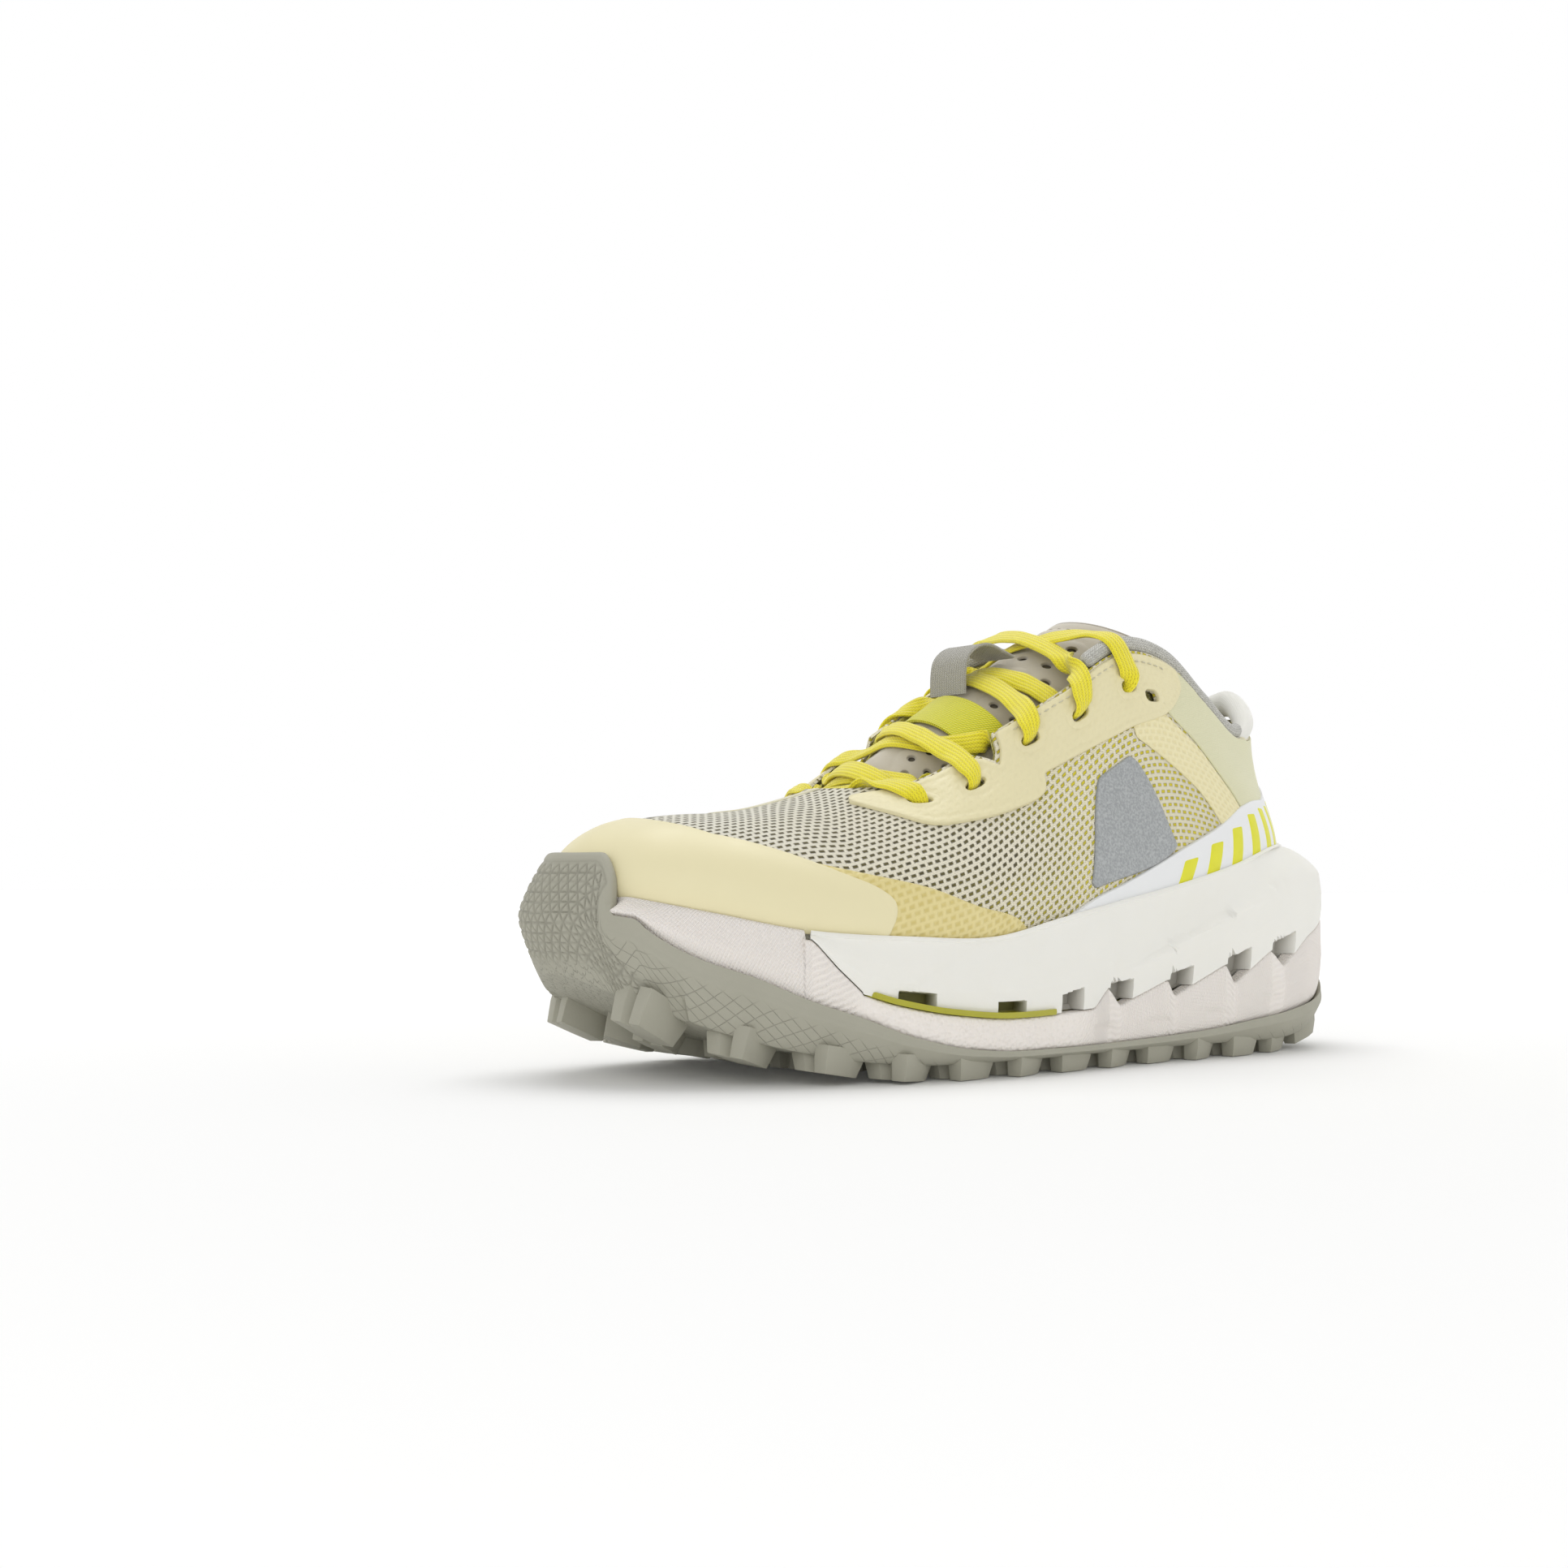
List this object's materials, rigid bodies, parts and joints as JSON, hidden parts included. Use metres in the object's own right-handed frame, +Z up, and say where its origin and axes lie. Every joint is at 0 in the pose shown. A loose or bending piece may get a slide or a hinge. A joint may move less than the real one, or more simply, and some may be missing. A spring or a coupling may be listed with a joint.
{
  "type": "trail running shoe",
  "caption": "Left trail running shoe with a lugged rubber outsole, a two-layer foam midsole with a plate, a mesh upper with film overlays and a laced tongue.",
  "frame": {"origin": "centre of the bounding box at ground level, under the lugs", "axes": "+Z up; -X towards the toe; -Y towards the outer (lateral) side of this left shoe"},
  "size_m": [0.295, 0.1098, 0.1415],
  "materials": {
    "outsole_rubber": "matte moulded",
    "carrier_foam": "matte moulded foam",
    "white_foam": "matte moulded foam",
    "plate_nylon": "satin",
    "strobel_fabric": "woven",
    "sockliner_fabric": "brushed",
    "lining_fabric": "knitted",
    "mesh_fabric": "open woven",
    "overlay_tpu": "satin film",
    "mudguard_film": "satin film",
    "foxing_film": "satin film",
    "heel_panel": "fine weave",
    "counter_board": "matte",
    "pad_foam": "foam",
    "collar_knit": "speckled knit",
    "heel_pillow_fabric": "brushed",
    "tongue_microfibre": "perforated microfibre",
    "label_webbing": "woven webbing",
    "elastic_knit": "ribbed elastic",
    "lace_polyester": "woven",
    "aglet_plastic": "gloss",
    "reflective_patch": "satin"
  },
  "bodies": {
    "shoe": {"outsole": "outsole_rubber", "midsole_lower": "carrier_foam", "midsole_upper": "white_foam", "flex_plate": "plate_nylon", "strobel_board": "strobel_fabric", "inner_lining": "lining_fabric", "mesh_upper": "mesh_fabric", "toe_cap_overlay": "overlay_tpu", "mudguard_film_lateral": "mudguard_film", "mudguard_film_medial": "mudguard_film", "eyestay_lateral": "overlay_tpu", "eyestay_medial": "overlay_tpu", "quarter_strap_lateral": "mudguard_film", "quarter_strap_medial": "mudguard_film", "heel_quarter_panel": "heel_panel", "foxing_band": "foxing_film", "side_emblem_lateral": "reflective_patch", "side_emblem_medial": "reflective_patch", "heel_counter": "counter_board", "collar_foam_lateral": "pad_foam", "collar_foam_medial": "pad_foam", "collar_binding_lateral": "collar_knit", "collar_binding_medial": "collar_knit", "heel_pillow": "heel_pillow_fabric", "shoelace": "lace_polyester", "aglet_lateral": "aglet_plastic", "aglet_medial": "aglet_plastic"},
    "tongue": {"tongue_face": "tongue_microfibre", "tongue_foam": "pad_foam", "tongue_lining": "lining_fabric", "tongue_label_loop": "label_webbing", "elastic_band": "elastic_knit"},
    "insole": {"sockliner": "sockliner_fabric"}
  },
  "joints": [
    {"name": "tongue_hinge", "type": "hinge", "parent": "shoe", "child": "tongue", "pos_m": [-0.0715, 0.0031, 0.069], "axis": [0, 1, 0], "range_deg": [0, 2.5]},
    {"name": "sockliner_lift", "type": "hinge", "parent": "shoe", "child": "insole", "pos_m": [-0.132, 0.016, 0.0425], "axis": [0, -1, 0], "range_deg": [0, 8]}
  ]
}
